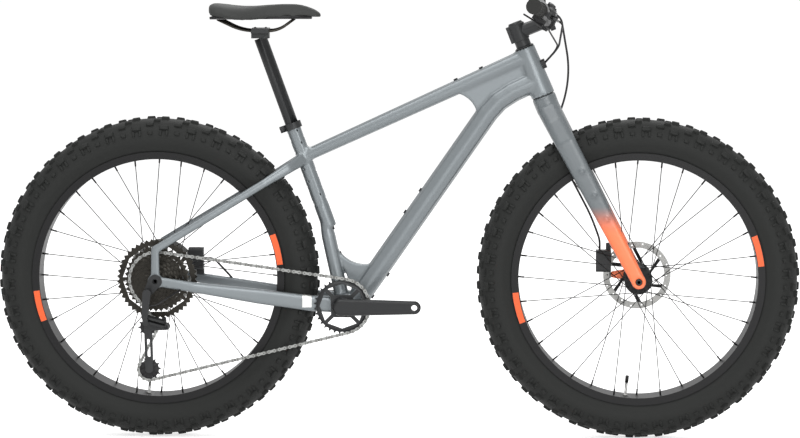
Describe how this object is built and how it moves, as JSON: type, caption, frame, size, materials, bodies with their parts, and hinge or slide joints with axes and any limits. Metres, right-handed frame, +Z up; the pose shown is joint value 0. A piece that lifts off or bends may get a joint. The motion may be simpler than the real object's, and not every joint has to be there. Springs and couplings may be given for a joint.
{
  "type": "fat tire bike",
  "caption": "Rigid mountain bicycle with wide knobbly tyres, sloping top tube, disc brakes, one chainring, a wide cassette and a rear derailleur, without pedals.",
  "frame": {"origin": "on the ground midway between the tyre contact points, in the middle plane", "axes": "+X forward, +Y to the rider's left, +Z up"},
  "size_m": [1.8908, 0.769, 1.0528],
  "materials": {
    "frame_paint": "satin",
    "fork_paint": "satin",
    "tyre_rubber": "matte",
    "rim_black": "satin",
    "spoke_steel": "satin",
    "black_alloy": "satin",
    "dark_steel": "satin",
    "bright_steel": "brushed",
    "black_plastic": "matte",
    "grip_rubber": "matte",
    "saddle_cover": "matte"
  },
  "bodies": {
    "frame": {"front_triangle": "frame_paint", "chainstay_left": "frame_paint", "chainstay_right": "frame_paint", "seatstay_left": "frame_paint", "seatstay_right": "frame_paint", "headset_bearings": "black_alloy", "bottom_bracket": "black_alloy", "seat_collar": "black_alloy", "rear_axle": "black_alloy", "derailleur_hanger": "black_alloy", "derailleur_b_knuckle": "black_alloy", "rear_caliper": "black_alloy", "rear_brake_hose": "black_plastic", "shift_housing": "black_plastic", "frame_fittings": "bright_steel", "chain": "bright_steel"},
    "seat": {"seatpost": "black_alloy", "saddle_clamp": "black_alloy", "saddle_pad": "saddle_cover", "saddle_shell": "black_plastic", "saddle_rails": "dark_steel"},
    "steering": {"fork": "fork_paint", "front_axle": "black_alloy", "headset_spacers": "black_alloy", "stem": "black_alloy", "stem_faceplate": "black_alloy", "handlebar": "black_alloy", "grips": "grip_rubber", "brake_masters": "black_alloy", "shifter_body": "black_plastic", "front_caliper": "black_alloy", "front_brake_hose": "black_plastic"},
    "front_wheel": {"front_tyre": "tyre_rubber", "front_rim": "rim_black", "front_spokes": "spoke_steel", "front_rotor": "bright_steel", "front_valve": "bright_steel", "front_hub": "black_alloy"},
    "rear_wheel": {"rear_tyre": "tyre_rubber", "rear_rim": "rim_black", "rear_spokes": "spoke_steel", "rear_rotor": "bright_steel", "rear_valve": "bright_steel", "rear_hub": "black_alloy"},
    "cassette": {"cassette": "dark_steel", "freehub_body": "black_alloy"},
    "crank": {"chainring": "black_alloy", "crank_spindle": "black_alloy", "crank_arm_right": "black_alloy", "crank_arm_left": "black_alloy"},
    "lever_left": {"brake_lever_left": "black_alloy"},
    "lever_right": {"brake_lever_right": "black_alloy"},
    "thumb_paddle": {"shift_paddle_thumb": "black_plastic"},
    "release_paddle": {"shift_paddle_release": "black_plastic"},
    "outer_link": {"derailleur_outer_link": "black_alloy"},
    "inner_link": {"derailleur_inner_link": "black_alloy"},
    "p_knuckle": {"derailleur_p_knuckle": "black_alloy"},
    "cage": {"derailleur_cage": "dark_steel"},
    "guide_pulley": {"guide_pulley": "black_plastic"},
    "tension_pulley": {"tension_pulley": "black_plastic"}
  },
  "joints": [
    {"name": "steer", "type": "hinge", "parent": "frame", "child": "steering", "pos_m": [0.3409, 0, 0.81027], "axis": [-0.3665, 0, 0.9304], "range_deg": [-65, 65], "deforming": ["rear_brake_hose", "shift_housing"]},
    {"name": "seatpost_slide", "type": "slide", "parent": "frame", "child": "seat", "axis": [-0.3404, 0, 0.9403], "range_m": [-0.1, 0.03]},
    {"name": "front_wheel_spin", "type": "hinge", "parent": "steering", "child": "front_wheel", "pos_m": [0.565, 0, 0.3805], "axis": [0, 1, 0], "continuous": true},
    {"name": "rear_wheel_spin", "type": "hinge", "parent": "frame", "child": "rear_wheel", "pos_m": [-0.565, 0, 0.3805], "axis": [0, 1, 0], "continuous": true},
    {"name": "crank_spin", "type": "hinge", "parent": "frame", "child": "crank", "pos_m": [-0.1294, 0, 0.3187], "axis": [0, 1, 0], "continuous": true, "deforming": ["chain"]},
    {"name": "cassette_spin", "type": "hinge", "parent": "frame", "child": "cassette", "pos_m": [-0.565, 0, 0.3805], "axis": [0, 1, 0], "continuous": true},
    {"name": "brake_lever_left", "type": "hinge", "parent": "steering", "child": "lever_left", "pos_m": [0.36562, 0.2289, 0.99973], "axis": [0.5298, -0.0241, 0.8478], "range_deg": [0, 13], "stiffness_Nm_per_rad": 1, "springref_deg": -8.59},
    {"name": "brake_lever_right", "type": "hinge", "parent": "steering", "child": "lever_right", "pos_m": [0.36562, -0.2289, 0.99973], "axis": [-0.5298, -0.0241, -0.8478], "range_deg": [0, 13], "stiffness_Nm_per_rad": 1, "springref_deg": -8.59},
    {"name": "shift_thumb", "type": "hinge", "parent": "steering", "child": "thumb_paddle", "pos_m": [0.3328, -0.20386, 0.98886], "axis": [0.5298, 0.0241, 0.8478], "range_deg": [0, 18], "stiffness_Nm_per_rad": 0.3, "springref_deg": -8.59},
    {"name": "shift_release", "type": "hinge", "parent": "steering", "child": "release_paddle", "pos_m": [0.3328, -0.20386, 0.98886], "axis": [-0.5298, -0.0241, -0.8478], "range_deg": [0, 12], "stiffness_Nm_per_rad": 0.3, "springref_deg": -8.59},
    {"name": "derailleur_shift", "type": "hinge", "parent": "frame", "child": "outer_link", "pos_m": [-0.58729, -0.11854, 0.2993], "axis": [0, 0.832, 0.5548], "range_deg": [-69, 21]},
    {"name": "derailleur_inner_link", "type": "hinge", "parent": "frame", "child": "inner_link", "pos_m": [-0.58729, -0.11077, 0.28766], "axis": [0, 0.832, 0.5548], "range_deg": [-69, 21]},
    {"name": "derailleur_knuckle", "type": "hinge", "parent": "outer_link", "child": "p_knuckle", "pos_m": [-0.545, -0.11, 0.2865], "axis": [0, 0.832, 0.5548], "range_deg": [-21, 69]},
    {"name": "cage_pivot", "type": "hinge", "parent": "p_knuckle", "child": "cage", "pos_m": [-0.543, 0, 0.2705], "axis": [0, 1, 0], "range_deg": [-45, 12], "stiffness_Nm_per_rad": 0.8},
    {"name": "guide_pulley_spin", "type": "hinge", "parent": "cage", "child": "guide_pulley", "pos_m": [-0.5866, -0.066, 0.26797], "axis": [0, 1, 0], "continuous": true},
    {"name": "tension_pulley_spin", "type": "hinge", "parent": "cage", "child": "tension_pulley", "pos_m": [-0.58412, -0.066, 0.16767], "axis": [0, 1, 0], "continuous": true}
  ],
  "couplings": [
    {"joint": "cassette_spin", "follows": "crank_spin", "ratio": 1},
    {"joint": "guide_pulley_spin", "follows": "crank_spin", "ratio": -2.9091},
    {"joint": "tension_pulley_spin", "follows": "crank_spin", "ratio": 2.4615},
    {"joint": "derailleur_inner_link", "follows": "derailleur_shift", "ratio": 1},
    {"joint": "derailleur_knuckle", "follows": "derailleur_shift", "ratio": -1}
  ]
}
